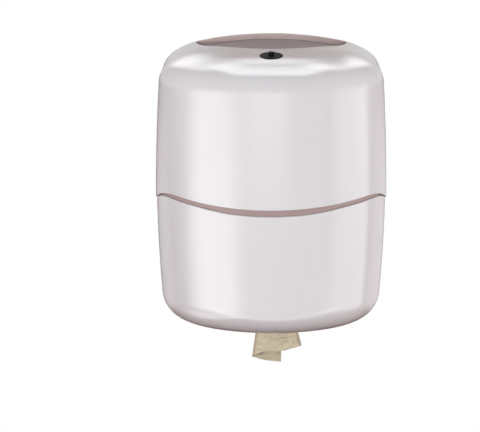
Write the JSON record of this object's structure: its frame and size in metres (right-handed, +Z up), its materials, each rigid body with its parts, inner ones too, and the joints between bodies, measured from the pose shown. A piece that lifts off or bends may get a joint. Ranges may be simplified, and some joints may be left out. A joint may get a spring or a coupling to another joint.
{
  "type": "centrefeed roll dispenser",
  "caption": "Wall-mounted rounded casing that holds a paper roll on a shelf and feeds it from its centre through a nozzle in the floor, with a hinged front cover and a push-button lock.",
  "frame": {"origin": "centre of the wall face, on the wall plane, at half the casing's height", "axes": "+Y points into the wall and the front looks along -Y, +X is to the right seen from the front, +Z is up"},
  "size_m": [0.252, 0.226, 0.3512],
  "materials": {
    "white_shell": "gloss",
    "grey_frame": "satin",
    "black_lock": "gloss",
    "grey_nozzle": "satin",
    "zinc_steel": "satin",
    "black_rubber": "matte",
    "beige_paper": "matte",
    "rolled_paper": "matte"
  },
  "bodies": {
    "housing": {"back_plate": "grey_frame", "top_deck": "grey_frame", "deck_screws": "zinc_steel", "latch_strike": "zinc_steel", "strike_screws": "zinc_steel", "roll_shelf": "grey_frame", "shelf_screws": "zinc_steel", "nozzle": "grey_nozzle", "nozzle_screws": "zinc_steel", "grip_ring": "black_rubber", "hinge_pins": "zinc_steel", "paper_roll": "rolled_paper", "paper_tail": "beige_paper"},
    "cover": {"upper_cover": "white_shell", "lower_cover": "white_shell", "cover_screws": "zinc_steel", "lock_bezel": "black_lock", "lock_nut": "black_lock", "latch_bracket": "zinc_steel", "bracket_screws": "zinc_steel", "latch_pin": "zinc_steel", "button_spring": "zinc_steel"},
    "button": {"lock_button": "black_lock", "button_clip": "zinc_steel"},
    "latch": {"latch_lever": "zinc_steel"}
  },
  "joints": [
    {"name": "cover_swing", "type": "hinge", "parent": "housing", "child": "cover", "pos_m": [0, -0.012, -0.146], "axis": [1, 0, 0], "range_deg": [0, 90]},
    {"name": "lock_press", "type": "slide", "parent": "cover", "child": "button", "axis": [0, 0.1906, -0.9817], "range_m": [0, 0.003], "stiffness_N_per_m": 600, "springref_m": -0.002, "deforming": ["button_spring"]},
    {"name": "latch_turn", "type": "hinge", "parent": "cover", "child": "latch", "pos_m": [0, -0.18604, 0.12678], "axis": [-1, 0, 0], "range_deg": [0, 12.5]}
  ],
  "couplings": [
    {"joint": "latch_turn", "follows": "lock_press", "rad_per_m": 71.99}
  ]
}
